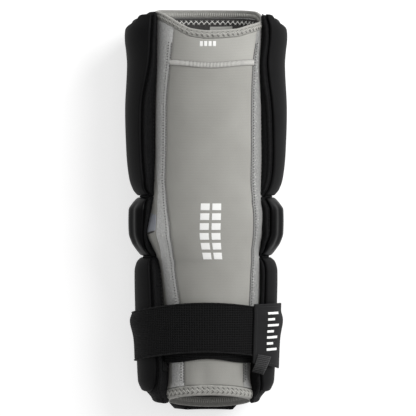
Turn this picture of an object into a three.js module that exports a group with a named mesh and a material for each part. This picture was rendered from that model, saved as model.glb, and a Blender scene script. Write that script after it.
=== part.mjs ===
import * as THREE from 'three';

// An arm pad for the left arm. It lies on its hard shell, with the inner-arm side up.
// The upper-arm end points to +Y and the wrist end to -Y. Sizes are in millimetres.

// Lengths of the three padded zones, from the wrist up
const forearmLength = 133;
const elbowLength = 51;
const upperLength = 155;

// The sleeve
const sleeveWidth = 91;
const sleeveDepth = 72;
const fabricThickness = 2.2;
const upperOverhang = 6; // how far the sleeve stands out of the padding at the upper arm
const tongueReach = 2.5; // how far the padding's tongue stands out of the sleeve at the wrist
const upperSlant = 22; // how far the sleeve's front rim falls back from its back rim
const wristSlant = 14.5;
const upperHemWidth = 7;
const wristHemWidth = 9;
const cuffHeight = 26; // from the front rim down to the cuff's cross seam
const tagWidth = 22;
const tagLength = 34;
const tagThickness = 0.6;
const tagDrop = 12; // from the back rim down to the tag's sewn edge

// The padding and its shells
const sidePadding = 23.5; // from the sleeve's side to the outside of the shell
const backPadding = 22; // from the floor to the sleeve's back at the upper arm
const plateThickness = 2.6;
const flatDepth = 4.5; // what the flat land under the shell takes off its round section
const padLip = 4; // how far the padding stands out past the long edges of a shell
const plateNotch = 2; // from a zone's end to the end of its shell, at the elbow
const upperPlateInset = 1.5; // from the padding's upper end to the shell's
const upperPlateRelief = 9; // the step in the upper shell's end, at both sides
const wristPlateInset = 18.5; // from the tongue's end to the forearm shell's end
const tongueLength = 11; // how far the tongue runs past the padding's wrist corners

// The straps
const strapWidth = 42;
const strapThickness = 1.8;
const strapHeight = 65; // from the tongue's end to the middle of the strap, at the back
const strapBow = 9.5; // how far the strap climbs the arm between its back and its front
const tabWidth = 53;
const tabThickness = 1.9;
const tabDrop = 1; // how much lower than the strap's middle the tab sits
const innerStrapWidth = 38;
const innerStrapThickness = 1.8;
const innerStrapHeight = 62.5;
const anchorThickness = 2.2;
const leftAnchorLength = 7;
const rightAnchorLength = 12;

const clearance = 0.3; // between pieces that touch

// Where the zones meet
const wristEnd = 0;
const elbowStart = wristEnd + forearmLength;
const elbowEnd = elbowStart + elbowLength;
const upperEnd = elbowEnd + upperLength;
const sleeveStart = wristEnd + tongueReach;
const sleeveEnd = upperEnd + upperOverhang;

// Sections along the arm. at is a share of the zone's length. width and lean are shares of half
// the sleeve's width, depth of half its depth, lift of backPadding and side of sidePadding.
// middle is the height of the shell's widest point, as a share of the sleeve's middle height.
// tipLeft and tipRight are where the shell's long edges lie, in degrees round from its back.
// seamLeft, seamRight, stripLeft and stripRight are the sleeve's seams, as shares of its half width.
const columns = ['at', 'width', 'depth', 'lean', 'lift', 'side', 'middle', 'tipLeft', 'tipRight',
  'stripLeft', 'seamLeft', 'seamRight', 'stripRight'];
const forearmForm = [
  [0.000, 0.750, 0.750, 0.066, 0.820, 0.550, 0.870, 136, 128, 0.91, 0.62, 0.83, 0.96],
  [0.083, 0.770, 0.758, 0.066, 0.820, 0.596, 0.870, 136, 128, 0.91, 0.62, 0.83, 0.96],
  [0.150, 0.770, 0.766, 0.066, 0.820, 0.872, 0.870, 134, 127, 0.91, 0.62, 0.83, 0.96],
  [0.205, 0.770, 0.772, 0.066, 0.825, 0.990, 0.870, 136, 128, 0.91, 0.62, 0.83, 0.96],
  [0.308, 0.776, 0.786, 0.068, 0.830, 1.010, 0.865, 136, 128, 0.91, 0.62, 0.82, 0.96],
  [0.661, 0.901, 0.861, 0.105, 0.840, 0.834, 0.848, 131, 125, 0.92, 0.65, 0.77, 0.96],
  [0.908, 0.945, 0.917, 0.077, 0.870, 0.766, 0.825, 130, 124, 0.93, 0.69, 0.80, 0.97],
  [0.965, 0.963, 0.931, 0.066, 0.880, 0.638, 0.810, 127, 123, 0.92, 0.67, 0.81, 0.97],
];
const elbowForm = [
  [0.000, 0.980, 0.944, 0.044, 0.890, 0.553, 0.800, 124, 123, 0.91, 0.66, 0.82, 0.97],
  [0.114, 1.002, 0.956, 0.026, 0.900, 0.545, 0.795, 124, 124, 0.90, 0.64, 0.82, 0.97],
  [0.231, 1.033, 0.967, 0.007, 0.910, 0.702, 0.790, 127, 127, 0.90, 0.62, 0.83, 0.97],
  [0.388, 1.070, 0.978, -0.009, 0.930, 0.736, 0.785, 128, 128, 0.91, 0.61, 0.83, 0.97],
  [0.779, 1.055, 1.000, 0.007, 0.960, 0.766, 0.780, 128, 128, 0.92, 0.68, 0.82, 0.97],
  [0.896, 1.040, 1.000, 0.013, 0.970, 0.647, 0.780, 125, 125, 0.93, 0.71, 0.81, 0.97],
];
const upperForm = [
  [0.000, 1.033, 1.000, 0.020, 0.980, 0.579, 0.780, 124, 123, 0.94, 0.73, 0.81, 0.97],
  [0.034, 1.024, 1.000, 0.024, 0.985, 0.655, 0.780, 124, 123, 0.95, 0.75, 0.80, 0.97],
  [0.095, 1.015, 1.000, 0.033, 0.990, 0.817, 0.778, 125, 123, 0.96, 0.78, 0.79, 0.97],
  [0.250, 1.002, 1.000, 0.053, 1.000, 0.953, 0.776, 126, 125, 0.97, 0.79, 0.79, 0.97],
  [0.476, 0.998, 1.004, 0.053, 1.000, 1.004, 0.776, 127, 127, 0.97, 0.79, 0.79, 0.97],
  [0.728, 0.993, 1.010, 0.050, 1.000, 0.945, 0.776, 134, 131, 0.97, 0.72, 0.83, 0.97],
  [0.845, 0.998, 1.016, 0.055, 1.000, 1.004, 0.776, 138, 133, 0.97, 0.68, 0.88, 0.98],
  [0.910, 1.004, 1.020, 0.060, 1.000, 0.974, 0.776, 138, 133, 0.97, 0.66, 0.90, 0.98],
  [1.000, 1.012, 1.026, 0.066, 1.000, 0.766, 0.776, 136, 132, 0.97, 0.66, 0.90, 0.98],
];
const crownShare = 0.92; // the shell's depth above its widest point, as a share of that below it

const backStep = 12; // degrees between two columns of a shell
const sleeveStep = 9; // degrees between two columns of the sleeve
const padColumns = 10; // columns of the padding on each side of its middle
const padInnerEnd = 97; // degrees round the sleeve to where the padding lets go of it

const colours = {
  greyStretch: 0xa6a5a0,
  greyBrushed: 0x9a9a99,
  hemGrey: 0x8f8e8a,
  fleece: 0x3b3a39,
  foam: 0x1d1d1e,
  plate: 0x2b2b2c,
  cap: 0x343435,
  elastic: 0x141415,
  tab: 0x28282a,
  tag: 0xb9b9b6,
};

function rowsOf(form, start, length) {
  return form.map((values) => {
    const row = Object.fromEntries(columns.map((name, i) => [name, values[i]]));
    row.y = start + row.at * length;
    return row;
  });
}

const stations = [
  ...rowsOf(forearmForm, wristEnd, forearmLength),
  ...rowsOf(elbowForm, elbowStart, elbowLength),
  ...rowsOf(upperForm, elbowEnd, upperLength),
];

// The arm's section at a height along it: straight between two stations, level past the ends
function sectionAt(y) {
  const last = stations.length - 1;
  const found = stations.findIndex((row) => row.y > y);
  const high = Math.max(1, found < 0 ? last : found);
  const [low, top] = [stations[high - 1], stations[high]];
  const share = THREE.MathUtils.clamp((y - low.y) / (top.y - low.y), 0, 1);
  const mix = (name) => THREE.MathUtils.lerp(low[name], top[name], share);
  const halfWidth = mix('width') * sleeveWidth / 2;
  const halfDepth = mix('depth') * sleeveDepth / 2;
  const height = mix('lift') * backPadding + halfDepth;
  return {
    halfWidth,
    halfDepth,
    height,
    lean: mix('lean') * sleeveWidth / 2,
    shellHalf: halfWidth + mix('side') * sidePadding,
    shellHeight: mix('middle') * height,
    tipLeft: mix('tipLeft'),
    tipRight: mix('tipRight'),
    stripLeft: mix('stripLeft'),
    seamLeft: mix('seamLeft'),
    seamRight: mix('seamRight'),
    stripRight: mix('stripRight'),
  };
}

const radians = THREE.MathUtils.degToRad;
const degrees = THREE.MathUtils.radToDeg;
const shellEnds = [
  wristEnd + wristPlateInset,
  elbowStart - plateNotch,
  elbowStart + plateNotch,
  elbowEnd - plateNotch,
  elbowEnd + plateNotch,
];
const forearmRest = strapThickness + clearance; // the strap passes under the forearm's shell

// A point of the sleeve. Angles run from its back round to +X, and 180 is the front.
function sleevePoint(y, angle, out) {
  const section = sectionAt(y);
  const x = section.lean + (section.halfWidth + out) * Math.sin(radians(angle));
  const z = section.height - (section.halfDepth + out) * Math.cos(radians(angle));
  return new THREE.Vector3(x, y, z);
}

// A point of the shell, with a flat land where it rests on the floor
function shellPoint(y, angle, out, rest, crown = 0) {
  const section = sectionAt(y);
  const down = Math.cos(radians(angle));
  const below = section.shellHeight - rest + flatDepth;
  const above = Math.max(crownShare * below, crown - section.shellHeight);
  const x = (section.shellHalf + out) * Math.sin(radians(angle));
  const z = section.shellHeight - ((down > 0 ? below : above) + out) * down;
  return new THREE.Vector3(x, y, Math.max(z, rest - out));
}

// A closed wall between an inner and an outer grid. place(u, v, side) gives a point for shares u
// across and v along, on side 0 or 1. A ring closes on itself across.
function wall(across, along, place, ring = false) {
  const width = ring ? across : across + 1;
  const positions = [];
  for (const side of [0, 1]) {
    for (let j = 0; j <= along; j += 1) {
      for (let i = 0; i < width; i += 1) {
        positions.push(...place(i, j, side).toArray());
      }
    }
  }
  const at = (side, i, j) => (side * (along + 1) + j) * width + (i % width);
  const triangles = [];
  const quad = (a, b, c, d) => triangles.push(a, b, c, a, c, d);
  for (let i = 0; i < across; i += 1) {
    for (let j = 0; j < along; j += 1) {
      quad(at(1, i, j), at(1, i + 1, j), at(1, i + 1, j + 1), at(1, i, j + 1));
      quad(at(0, i, j), at(0, i, j + 1), at(0, i + 1, j + 1), at(0, i + 1, j));
    }
    quad(at(0, i, 0), at(0, i + 1, 0), at(1, i + 1, 0), at(1, i, 0));
    quad(at(1, i, along), at(1, i + 1, along), at(0, i + 1, along), at(0, i, along));
  }
  for (let j = 0; j < along && !ring; j += 1) {
    quad(at(0, 0, j), at(1, 0, j), at(1, 0, j + 1), at(0, 0, j + 1));
    quad(at(1, across, j), at(0, across, j), at(0, across, j + 1), at(1, across, j + 1));
  }
  const geometry = new THREE.BufferGeometry();
  geometry.setAttribute('position', new THREE.Float32BufferAttribute(positions, 3));
  geometry.setIndex(facingOut(positions, triangles));
  geometry.computeVertexNormals();
  return geometry;
}

// The triangles, turned round if they enclose a negative volume
function facingOut(positions, triangles) {
  const corner = (k) => new THREE.Vector3().fromArray(positions, 3 * triangles[k]);
  let volume = 0;
  for (let k = 0; k < triangles.length; k += 3) {
    volume += corner(k).dot(corner(k + 1).cross(corner(k + 2)));
  }
  return volume < 0 ? triangles.reverse() : triangles;
}

// The heights of a piece's rows: its two ends, and each station and break well inside them
function rowsBetween(low, high, breaks = []) {
  const heights = [...breaks, ...stations.map((row) => row.y)].sort((a, b) => a - b);
  const apart = heights.filter((y, i) => i === 0 || y - heights[i - 1] > 0.5);
  return [low, ...apart.filter((y) => y > low + 0.5 && y < high - 0.5), high];
}

// Angles at a fixed step between two ends, and the ends themselves
function anglesBetween(low, high, step) {
  const angles = [low];
  for (let angle = Math.ceil((low + 1) / step) * step; angle < high - 1; angle += step) {
    angles.push(angle);
  }
  return [...angles, high];
}

const pad = new THREE.Group();
const assembly = new THREE.Group();
assembly.add(pad);

function addPiece(name, geometry, colour, roughness) {
  const material = new THREE.MeshStandardMaterial({ color: colour, roughness, metalness: 0 });
  const mesh = new THREE.Mesh(geometry, material);
  mesh.name = name;
  pad.add(mesh);
}

// Where the sleeve's rims lie, at an angle round it
function upperRim(angle) {
  return sleeveEnd - upperSlant * (1 - Math.cos(radians(angle))) / 2;
}

function wristRim(angle) {
  return sleeveStart + wristSlant * (1 - Math.cos(radians(angle))) / 2;
}

// How far round from the front a seam lies, in degrees, from its share of the half width
function seamTurn(share) {
  return degrees(Math.asin(share));
}

// Where a seam meets a slanted cross line
function crossing(seam, line) {
  let y = line(180);
  for (let step = 0; step < 6; step += 1) {
    y = line(seam(y));
  }
  return y;
}

// A panel of the sleeve, between two seams and two cross lines given by angle
function sleevePanel(fromSeam, toSeam, lowLine, highLine) {
  const heights = rowsBetween(lowLine(180), highLine(180));
  const last = heights.length - 1;
  const middle = (heights[0] + heights[last]) / 2;
  const across = Math.max(3, Math.round((toSeam(middle) - fromSeam(middle)) / sleeveStep));
  const place = (i, j, side) => {
    const column = (y) => THREE.MathUtils.lerp(fromSeam(y), toSeam(y), i / across);
    let y = heights[j];
    if (j === 0) y = crossing(column, lowLine);
    if (j === last) y = crossing(column, highLine);
    return sleevePoint(y, column(y), side ? 0 : -fabricThickness);
  };
  return wall(across, last, place);
}

function addSleeve() {
  const half = degrees(clearance / sleeveWidth); // half a seam's gap, in degrees
  const leftStrip = (y) => 180 + seamTurn(sectionAt(y).stripLeft);
  const leftSeam = (y) => 180 + seamTurn(sectionAt(y).seamLeft);
  const rightSeam = (y) => 180 - seamTurn(sectionAt(y).seamRight);
  const rightStrip = (y) => 180 - seamTurn(sectionAt(y).stripRight);
  const shifted = (line, by) => (y) => line(y) + by;
  const lowLine = (angle) => wristRim(angle) + wristHemWidth + clearance;
  const highLine = (angle) => upperRim(angle) - upperHemWidth - clearance;
  const cuffLine = upperRim(180) - cuffHeight;
  const belowCuff = () => cuffLine - clearance / 2;
  const aboveCuff = () => cuffLine + clearance / 2;
  const frontFrom = shifted(rightSeam, half);
  const frontTo = shifted(leftSeam, -half);
  addPiece('front_panel', sleevePanel(frontFrom, frontTo, lowLine, belowCuff),
    colours.greyStretch, 0.85);
  addPiece('cuff_panel', sleevePanel(frontFrom, frontTo, aboveCuff, highLine),
    colours.greyStretch, 0.85);
  addPiece('side_strip_right',
    sleevePanel(shifted(rightStrip, half), shifted(rightSeam, -half), lowLine, highLine),
    colours.greyBrushed, 0.95);
  addPiece('side_strip_left',
    sleevePanel(shifted(leftSeam, half), shifted(leftStrip, -half), lowLine, highLine),
    colours.greyBrushed, 0.95);
  addPiece('sleeve_back',
    sleevePanel(shifted(leftStrip, half - 360), shifted(rightStrip, -half), lowLine, highLine),
    colours.fleece, 0.95);
}

// A hem: a ring of the sleeve's thickness and a little more, that follows a slanted rim
function addHem(name, lowLine, highLine) {
  const ringSteps = 360 / sleeveStep;
  const place = (i, j, side) => {
    const angle = i * sleeveStep;
    return sleevePoint(j ? highLine(angle) : lowLine(angle), angle, side ? 0 : -fabricThickness);
  };
  addPiece(name, wall(ringSteps, 1, place, true), colours.hemGrey, 0.9);
}

// The small tag sewn to the back wall's inside
function addTag() {
  const top = sleeveEnd - tagDrop;
  const heights = rowsBetween(top - tagLength, top);
  const end = degrees(tagWidth / (sleeveWidth / 2));
  const angles = anglesBetween(0, end, sleeveStep);
  const place = (i, j, side) => {
    const depth = fabricThickness + clearance + (side ? 0 : tagThickness);
    return sleevePoint(heights[j], angles[i], -depth);
  };
  addPiece('size_tag', wall(angles.length - 1, heights.length - 1, place), colours.tag, 0.7);
}

// The angles of a shell's columns at a height, with its long edges as the first and last.
// lip is how far the piece stands out past those edges.
function shellAngles(y, lip) {
  const section = sectionAt(y);
  const more = degrees(lip / section.shellHalf);
  const angles = [-section.tipLeft - more];
  for (let k = -padColumns; k <= padColumns; k += 1) {
    angles.push(k * backStep);
  }
  return [...angles, section.tipRight + more];
}

// The padding of one zone: the sleeve's form inside and the shell's inside face outside
function addPadding(name, rest, lowLine, highLine) {
  const count = 2 * padColumns + 2;
  const share = (i) => Math.abs(2 * i / count - 1);
  const low = Math.max(lowLine(0), lowLine(1));
  const high = Math.min(highLine(0), highLine(1));
  const heights = rowsBetween(low, high, shellEnds);
  const place = (i, j, side) => {
    let y = heights[j];
    if (j === 0) y = lowLine(share(i));
    if (j === heights.length - 1) y = highLine(share(i));
    if (side) return shellPoint(y, shellAngles(y, padLip)[i], -plateThickness - clearance, rest);
    const turn = Math.min(Math.abs(i - count / 2) * sleeveStep, padInnerEnd);
    return sleevePoint(y, Math.sign(i - count / 2) * turn, clearance);
  };
  addPiece(name, wall(count, heights.length - 1, place), colours.foam, 0.95);
}

// A moulded shell over one zone's padding
function addPlate(name, rest, lowLine, highLine, colour, roughness) {
  const count = 2 * padColumns + 2;
  const turn = (i) => Math.abs(i - count / 2) * backStep;
  const turns = Array.from({ length: count + 1 }, (_, i) => turn(i));
  const heights = rowsBetween(Math.max(...turns.map(lowLine)), Math.min(...turns.map(highLine)));
  const place = (i, j, side) => {
    let y = heights[j];
    if (j === 0) y = lowLine(turn(i));
    if (j === heights.length - 1) y = highLine(turn(i));
    return shellPoint(y, shellAngles(y, 0)[i], side ? 0 : -plateThickness, rest);
  };
  addPiece(name, wall(count, heights.length - 1, place), colour, roughness);
}

function addPadsAndPlates() {
  const half = clearance / 2;
  const level = (y) => () => y;
  const tongueShare = 0.42; // the tongue's half width, as a share of the padding's way round
  const cornerShare = 0.55; // where the padding's wrist corners begin
  const tongue = (share) => wristEnd
    + tongueLength * THREE.MathUtils.smoothstep(share, tongueShare, cornerShare);
  addPadding('forearm_pad', forearmRest, tongue, level(elbowStart - half));
  addPadding('elbow_pad', 0, level(elbowStart + half), level(elbowEnd - half));
  addPadding('upper_pad', 0, level(elbowEnd + half), level(upperEnd));

  const reliefFrom = 66; // degrees round the shell where the step in its end begins
  const reliefTo = 114;
  const stepped = (turn) => upperEnd - upperPlateInset
    - (turn > reliefFrom && turn < reliefTo ? upperPlateRelief : 0);
  addPlate('forearm_plate', forearmRest, level(wristEnd + wristPlateInset),
    level(elbowStart - plateNotch), colours.plate, 0.55);
  addPlate('elbow_cap', 0, level(elbowStart + plateNotch), level(elbowEnd - plateNotch),
    colours.cap, 0.35);
  addPlate('upper_plate', 0, level(elbowEnd + plateNotch), stepped, colours.plate, 0.55);
}

// How high the wide strap's underside passes over the sleeve's front
function strapCrown(y) {
  const section = sectionAt(y);
  return section.height + section.halfDepth + 2 * clearance + innerStrapThickness;
}

// The middle of the strap's width, at an angle round it
function strapMiddle(angle) {
  return wristEnd + strapHeight + strapBow * ((1 - Math.cos(radians(angle))) / 2) ** 3;
}

function strapPoint(y, angle, out) {
  return shellPoint(y, angle, clearance + out, forearmRest, strapCrown(y));
}

function addStraps() {
  const rows = 3;
  const spread = (middle, width, j, steps) => middle + width * (j / steps - 0.5);
  const loop = (i, j, side) => {
    const angle = i * backStep;
    const y = spread(strapMiddle(angle), strapWidth, j, rows);
    return strapPoint(y, angle, side ? strapThickness : 0);
  };
  addPiece('forearm_strap', wall(360 / backStep, rows, loop, true), colours.elastic, 0.9);

  const tabFrom = 100; // degrees round the arm
  const tabTo = 141;
  const tabAngles = anglesBetween(tabFrom, tabTo, backStep);
  const tab = (i, j, side) => {
    const angle = tabAngles[i];
    const y = spread(strapMiddle(angle) - tabDrop, tabWidth, j, rows);
    const under = strapThickness + clearance;
    return strapPoint(y, angle, under + (side ? tabThickness : 0));
  };
  addPiece('strap_tab', wall(tabAngles.length - 1, rows, tab), colours.tab, 0.6);
}

// A point on the face between the padding's outer edge and the sleeve's side. hand is -1 on the
// left and 1 on the right, share runs from the outer edge down, and out is the height off the face.
function valleyPoint(y, hand, share, out) {
  const angles = shellAngles(y, padLip);
  const edge = shellPoint(y, hand < 0 ? angles[0] : angles.at(-1), -plateThickness - clearance,
    forearmRest);
  const foot = sleevePoint(y, hand * padInnerEnd, clearance);
  const along = foot.clone().sub(edge).normalize();
  const normal = new THREE.Vector3(-hand * Math.abs(along.z), 0, Math.abs(along.x));
  return edge.lerp(foot, share).addScaledVector(normal, out);
}

// The strap under the wide one: over the sleeve's front, and across to the padding on both sides
function addInnerStrap() {
  const low = wristEnd + innerStrapHeight - innerStrapWidth / 2;
  const high = low + innerStrapWidth;
  const overFront = 6; // columns over the sleeve on each side of its middle
  const columnsInAll = 2 * overFront + 2;
  const landing = 0.3; // where it lands on the padding's face
  const place = (i, j, side) => {
    const y = j ? high : low;
    const out = clearance + (side ? innerStrapThickness : 0);
    const k = i - overFront - 1;
    if (Math.abs(k) > overFront) return valleyPoint(y, -Math.sign(k), landing, out);
    return sleevePoint(y, 180 + k * sleeveStep, out);
  };
  addPiece('inner_strap', wall(columnsInAll, 1, place), colours.elastic, 0.9);
}

// A sewn end of the inner strap, just below it on the padding's face
function addAnchor(name, hand, length) {
  const top = wristEnd + innerStrapHeight - innerStrapWidth / 2 - clearance;
  const [from, to] = [0.08, 0.72]; // shares of the face's width
  const place = (i, j, side) => {
    const share = THREE.MathUtils.lerp(from, to, i);
    return valleyPoint(top - length * (1 - j), hand, share,
      clearance + (side ? anchorThickness : 0));
  };
  addPiece(name, wall(1, 1, place), colours.elastic, 0.9);
}

addSleeve();
addHem('upper_hem', (angle) => upperRim(angle) - upperHemWidth, upperRim);
addHem('wrist_hem', wristRim, (angle) => wristRim(angle) + wristHemWidth);
addTag();
addPadsAndPlates();
addStraps();
addInnerStrap();
addAnchor('strap_anchor_left', -1, leftAnchorLength);
addAnchor('strap_anchor_right', 1, rightAnchorLength);

// The origin is under the middle of the whole pad, on the surface that it lies on
const box = new THREE.Box3().setFromObject(pad);
const middle = box.getCenter(new THREE.Vector3());
pad.position.set(-middle.x, -middle.y, -box.min.z);

export default assembly;
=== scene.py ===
import math

import bpy
import numpy as np
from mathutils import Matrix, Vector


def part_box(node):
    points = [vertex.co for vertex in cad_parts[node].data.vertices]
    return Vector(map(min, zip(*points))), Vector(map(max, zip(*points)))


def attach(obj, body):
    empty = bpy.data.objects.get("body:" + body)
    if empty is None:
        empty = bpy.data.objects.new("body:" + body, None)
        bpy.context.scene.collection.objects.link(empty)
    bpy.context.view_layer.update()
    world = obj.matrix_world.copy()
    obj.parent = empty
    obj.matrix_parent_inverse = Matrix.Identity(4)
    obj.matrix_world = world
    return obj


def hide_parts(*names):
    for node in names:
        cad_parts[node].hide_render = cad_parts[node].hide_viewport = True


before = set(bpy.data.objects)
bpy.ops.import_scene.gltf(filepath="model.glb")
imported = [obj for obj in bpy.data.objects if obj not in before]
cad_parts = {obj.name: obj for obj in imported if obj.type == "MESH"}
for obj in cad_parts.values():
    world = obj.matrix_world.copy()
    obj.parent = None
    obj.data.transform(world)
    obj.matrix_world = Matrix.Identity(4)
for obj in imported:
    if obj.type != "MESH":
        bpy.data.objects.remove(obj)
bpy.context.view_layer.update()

# A padded sleeve for the left arm, lying on its shell with the inner-arm side up.
# Sizes here are in millimetres, and toMesh turns them to metres.
mm = 0.001
body = "root"
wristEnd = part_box("forearm_pad")[0][1] / mm  # the tongue's end, where lengths start
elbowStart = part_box("elbow_pad")[0][1] / mm - wristEnd
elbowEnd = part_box("upper_pad")[0][1] / mm - wristEnd
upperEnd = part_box("upper_pad")[1][1] / mm - wristEnd
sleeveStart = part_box("wrist_hem")[0][1] / mm - wristEnd
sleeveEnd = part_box("upper_hem")[1][1] / mm - wristEnd

# The form of the arm. Its sizes are those of the solids.
form = {
    "sleeveWidth": 91, "sleeveDepth": 72, "fabric": 2.2, "wristSlant": 14.5,
    "upperHem": 7, "wristHem": 9, "cuffHeight": 26, "sidePadding": 23.5, "backPadding": 22,
    "plate": 2.6, "flatDepth": 4.5, "padLip": 4, "crownShare": 0.92, "gap": 0.3,
    "strap": 1.8, "innerStrap": 1.8, "padInnerEnd": 97, "landSoft": 1.2,
}
# The arm's sections: at is a share of the zone's length, width and lean are shares of half the
# sleeve's width, depth of half its depth, lift of backPadding, side of sidePadding, and middle is
# the height of the shell's widest point. tipLeft and tipRight are the shell's long edges in degrees
# from its back, and the last four the sleeve's seams as shares of its half width. The solids have
# the same table, but for the tips, the left strip at the elbow and the sides beside the two gaps,
# which follow the photo more closely here.
columns = ["at", "width", "depth", "lean", "lift", "side", "middle", "tipLeft", "tipRight",
           "stripLeft", "seamLeft", "seamRight", "stripRight"]
forearmForm = [
    [0.000, 0.750, 0.750, 0.066, 0.820, 0.550, 0.870, 121, 116, 0.91, 0.62, 0.83, 0.96],
    [0.083, 0.770, 0.758, 0.066, 0.820, 0.596, 0.870, 124, 119, 0.91, 0.62, 0.83, 0.96],
    [0.150, 0.770, 0.766, 0.066, 0.820, 0.872, 0.870, 127, 121, 0.91, 0.62, 0.83, 0.96],
    [0.205, 0.770, 0.772, 0.066, 0.825, 0.990, 0.870, 131, 124, 0.91, 0.62, 0.83, 0.96],
    [0.308, 0.776, 0.786, 0.068, 0.830, 1.010, 0.865, 133, 126, 0.91, 0.62, 0.82, 0.96],
    [0.661, 0.901, 0.861, 0.105, 0.840, 0.834, 0.848, 129, 122.5, 0.92, 0.65, 0.77, 0.96],
    [0.908, 0.945, 0.917, 0.077, 0.870, 0.766, 0.825, 127, 121.5, 0.93, 0.69, 0.80, 0.97],
    [0.965, 0.963, 0.931, 0.066, 0.880, 0.650, 0.810, 124, 121, 0.92, 0.67, 0.81, 0.97],
]
elbowForm = [
    [0.000, 0.980, 0.944, 0.044, 0.890, 0.475, 0.800, 120.5, 120.5, 0.90, 0.66, 0.82, 0.97],
    [0.114, 1.002, 0.956, 0.026, 0.900, 0.600, 0.795, 120, 121, 0.87, 0.64, 0.82, 0.97],
    [0.231, 1.033, 0.967, 0.007, 0.910, 0.702, 0.790, 122.5, 123.5, 0.85, 0.62, 0.83, 0.97],
    [0.388, 1.070, 0.978, -0.009, 0.930, 0.736, 0.785, 124.5, 122.5, 0.84, 0.61, 0.83, 0.97],
    [0.779, 1.055, 1.000, 0.007, 0.960, 0.766, 0.780, 126, 122.5, 0.86, 0.68, 0.82, 0.97],
    [0.896, 1.040, 1.000, 0.013, 0.970, 0.647, 0.780, 123, 121, 0.885, 0.71, 0.81, 0.97],
]
upperForm = [
    [0.000, 1.033, 1.000, 0.020, 0.980, 0.490, 0.780, 122, 119.5, 0.89, 0.73, 0.81, 0.97],
    [0.034, 1.024, 1.000, 0.024, 0.985, 0.655, 0.780, 122, 119.5, 0.90, 0.75, 0.80, 0.97],
    [0.095, 1.015, 1.000, 0.033, 0.990, 0.817, 0.778, 124.5, 119.5, 0.93, 0.78, 0.79, 0.97],
    [0.250, 1.002, 1.000, 0.053, 1.000, 0.953, 0.776, 125, 121, 0.97, 0.79, 0.79, 0.97],
    [0.476, 0.998, 1.004, 0.053, 1.000, 1.004, 0.776, 126, 124, 0.97, 0.79, 0.79, 0.97],
    [0.728, 0.993, 1.010, 0.050, 1.000, 0.945, 0.776, 133, 128, 0.97, 0.72, 0.83, 0.97],
    [0.845, 0.998, 1.016, 0.055, 1.000, 1.004, 0.776, 136, 127.5, 0.97, 0.68, 0.88, 0.98],
    [0.910, 1.004, 1.020, 0.060, 1.000, 0.974, 0.776, 136.5, 127, 0.97, 0.66, 0.90, 0.98],
    [1.000, 1.012, 1.026, 0.066, 1.000, 0.766, 0.776, 133, 126, 0.97, 0.66, 0.90, 0.98],
]
zones = [(forearmForm, 0, elbowStart), (elbowForm, elbowStart, elbowEnd),
         (upperForm, elbowEnd, upperEnd)]
stationY = np.array([a + row[0] * (b - a) for rows, a, b in zones for row in rows])
stationRows = np.array([row for rows, a, b in zones for row in rows], float)
# The mouth's rim: degrees round the sleeve and how far it lies below the sleeve's end there.
# It stays high round the left side and drops steeply to the front.
rimDrop = np.array([
    [-180, 23.4], [-160, 21.4], [-150, 18.0], [-130, 10.4], [-110, 5.8], [-90, 4.1], [-60, 1.5],
    [0, 0.0], [30, 0.6], [60, 2.8], [75, 6.5], [90, 11.4], [110, 14.4], [134, 18.4], [150, 21.6],
    [180, 23.4],
])


# Values through the rows of a table, smooth and without overshoot between them
def through(xs, ys, x):
    step, rise = np.diff(xs), np.diff(ys) / np.diff(xs)
    slope = np.zeros(len(xs))
    level = rise[:-1] * rise[1:] <= 0
    w1, w2 = 2 * step[1:] + step[:-1], step[1:] + 2 * step[:-1]
    safe = np.where(level, 1, rise[:-1]), np.where(level, 1, rise[1:])
    slope[1:-1] = np.where(level, 0, (w1 + w2) / (w1 / safe[0] + w2 / safe[1]))
    x = np.clip(x, xs[0], xs[-1])
    k = np.clip(np.searchsorted(xs, x, side="right") - 1, 0, len(step) - 1)
    t = (x - xs[k]) / step[k]
    start = (1 + 2 * t) * (1 - t) ** 2 * ys[k] + t * (1 - t) ** 2 * step[k] * slope[k]
    end = t * t * (3 - 2 * t) * ys[k + 1] + t * t * (t - 1) * step[k] * slope[k + 1]
    return start + end


def track(name, y):
    return through(stationY, stationRows[:, columns.index(name)], y)


def sleeveSection(y):
    halfWidth = track("width", y) * form["sleeveWidth"] / 2
    halfDepth = track("depth", y) * form["sleeveDepth"] / 2
    height = track("lift", y) * form["backPadding"] + halfDepth
    return halfWidth, halfDepth, height, track("lean", y) * form["sleeveWidth"] / 2


# A point of the sleeve. Angles run in degrees from its back round to +X, and 180 is the front.
def sleevePoint(y, angle, out):
    halfWidth, halfDepth, height, lean = sleeveSection(y)
    turn = np.radians(angle)
    return np.stack([lean + (halfWidth + out) * np.sin(turn), y + 0 * turn,
                     height - (halfDepth + out) * np.cos(turn)], -1)


def shellHalf(y):
    return track("width", y) * form["sleeveWidth"] / 2 + track("side", y) * form["sidePadding"]


# A point of the shell, with a flat land where it rests on the floor
def shellPoint(y, angle, out, rest=0, crown=0):
    height = track("middle", y) * sleeveSection(y)[2]
    turn = np.radians(angle)
    below = height - rest + form["flatDepth"]
    above = np.maximum(form["crownShare"] * below, crown - height)
    down = np.cos(turn)
    x = (shellHalf(y) + out) * np.sin(turn)
    z = height - (np.where(down > 0, below, above) + out) * down
    lowest = rest - out
    over = z - lowest
    z = lowest + 0.5 * (over + np.sqrt(over ** 2 + form["landSoft"] ** 2))
    return np.stack([x, y + 0 * turn, z], -1)


def upperRim(angle):
    turn = (np.asarray(angle, float) + 180) % 360 - 180
    return sleeveEnd - through(rimDrop[:, 0], rimDrop[:, 1], turn)


def wristRim(angle):
    return sleeveStart + form["wristSlant"] * (1 - np.cos(np.radians(angle))) / 2


def seamAt(name, y):
    turn = np.degrees(np.arcsin(track(name, y)))
    return 180 + turn if name.endswith("Left") else 180 - turn


def smoothStep(t):
    t = np.clip(t, 0, 1)
    return t * t * (3 - 2 * t)


def bump(value, centre, width):
    return np.exp(-((value - centre) / width) ** 2)


# A line or an edge that stays at one value
def level(value):
    return lambda at: value + 0 * at


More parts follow.
